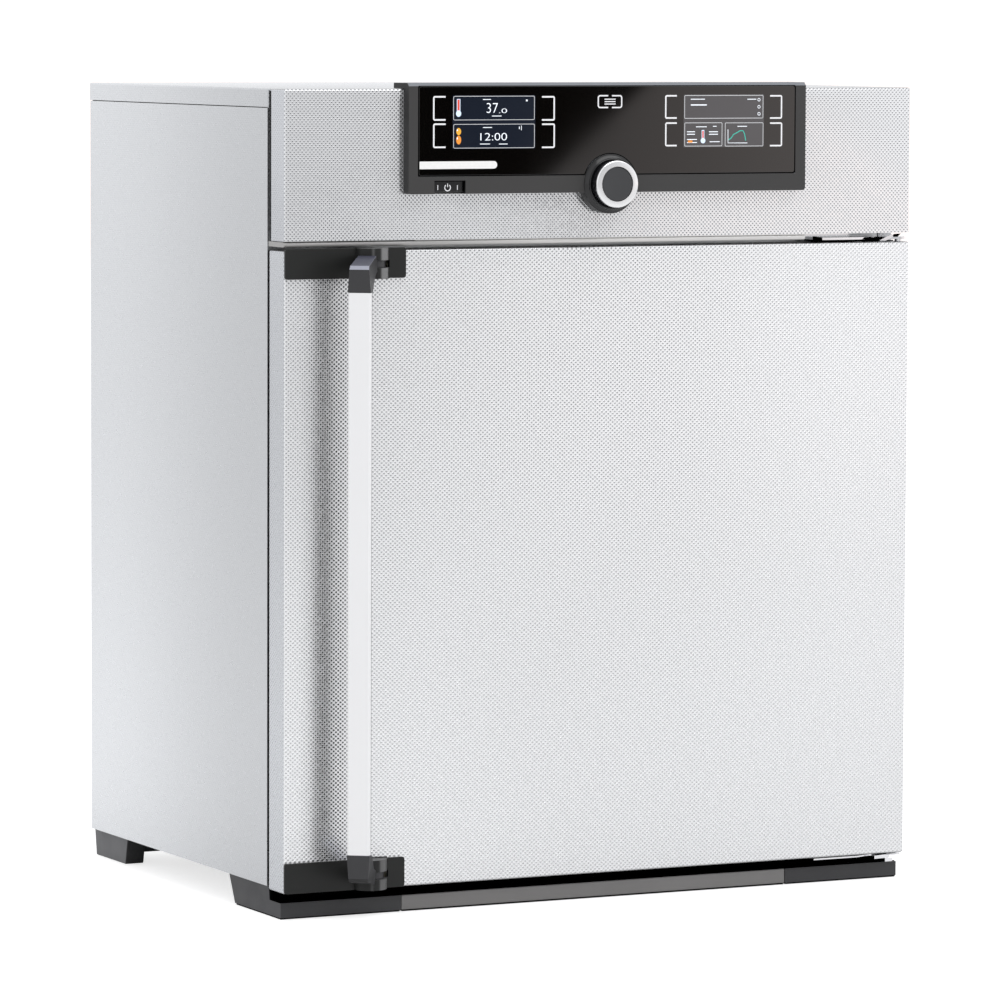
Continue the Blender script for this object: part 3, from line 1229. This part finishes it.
def wstep(value, low, high, a=0.0, b=1.0):
    new = wnode("ShaderNodeMapRange", interpolation_type="SMOOTHSTEP")
    for socket, item in zip(new.inputs, (value, low, high, a, b)):
        if isinstance(item, bpy.types.NodeSocket):
            net.links.new(item, socket)
        else:
            socket.default_value = item
    return new.outputs[0]


# The room is white, dimmer low in front, with one dark doorway there on the right, which the
# black glass of the panel mirrors.
way = wnode("ShaderNodeTexCoord")
split = wnode("ShaderNodeSeparateXYZ")
net.links.new(way.outputs["Generated"], split.inputs[0])
wx, wy, wz = split.outputs
turnw = wmath("MULTIPLY", wmath("ARCTAN2", wx, wmath("MULTIPLY", wy, -1.0)), 57.29578)
tilt = wmath("MULTIPLY", wmath("ARCSINE", wz), 57.29578)
edge = wmath("SUBTRACT", wmath("SUBTRACT", turnw, 27.67),
             wmath("MULTIPLY", wmath("ADD", tilt, 0.72), 1.047))
level_band = wmath("MULTIPLY", wstep(tilt, -2.7, -2.1), wstep(tilt, -0.45, 0.15, 1.0, 0.0))
dark = wmath("MULTIPLY", wstep(edge, -0.07, 0.07, 1.0, 0.0), wstep(turnw, 24.3, 25.0))
dark = wmath("MULTIPLY", dark, level_band)
room = wmath("SUBTRACT", 1.0, wmath("MULTIPLY", dark, 0.985))
glow = wmath("SUBTRACT", wmath("MULTIPLY", wstep(turnw, 27.0, 29.6), 0.42), 0.16)
room = wmath("MULTIPLY", room, wmath("ADD", 1.0, wmath("MULTIPLY", level_band, glow)))
# Dimmer sector in front: from the left shoulder to the right, and only up to a middle height.
sector = wmath("MULTIPLY", wstep(turnw, -30.0, 0.0), wstep(turnw, 16.0, 50.0, 1.0, 0.0))
sector = wmath("MULTIPLY", sector, wstep(tilt, 12.0, 55.0, 1.0, 0.0))
room = wmath("MULTIPLY", room, wmath("SUBTRACT", 1.0, wmath("MULTIPLY", sector, 0.34)))
path = wnode("ShaderNodeLightPath")
back = wnode("ShaderNodeBackground")
tint = wnode("ShaderNodeMix", data_type="RGBA")
net.links.new(wmath("MULTIPLY", level_band, wstep(turnw, 25.0, 28.0)), tint.inputs[0])
tint.inputs[6].default_value = (0.985, 0.99, 1.0, 1)
tint.inputs[7].default_value = (1.06, 0.97, 0.94, 1)
net.links.new(tint.outputs[2], back.inputs["Color"])
level = wmath("MULTIPLY", room, 1.03)
white = wmath("MULTIPLY", path.outputs["Is Camera Ray"], 1.1)
other = wmath("MULTIPLY", wmath("SUBTRACT", 1.0, path.outputs["Is Camera Ray"]), level)
net.links.new(wmath("ADD", white, other), back.inputs["Strength"])
out = wnode("ShaderNodeOutputWorld")
net.links.new(back.outputs[0], out.inputs["Surface"])


def soft_light(name, at, aim, size, power):
    lamp = bpy.data.lights.new(name, "AREA")
    lamp.shape = "RECTANGLE"
    lamp.size, lamp.size_y = size
    lamp.energy = power
    obj = bpy.data.objects.new(name, lamp)
    scene.collection.objects.link(obj)
    obj.location = at
    obj.rotation_euler = (Vector(aim) - Vector(at)).to_track_quat("-Z", "Y").to_euler()
    obj.visible_camera = False
    return obj


soft_light("overhead", (0.6, -1.0, 3.4), (0, 0, 0.4), (3.0, 3.0), 46.0)

scene.view_settings.view_transform = "Standard"
scene.view_settings.look = "None"
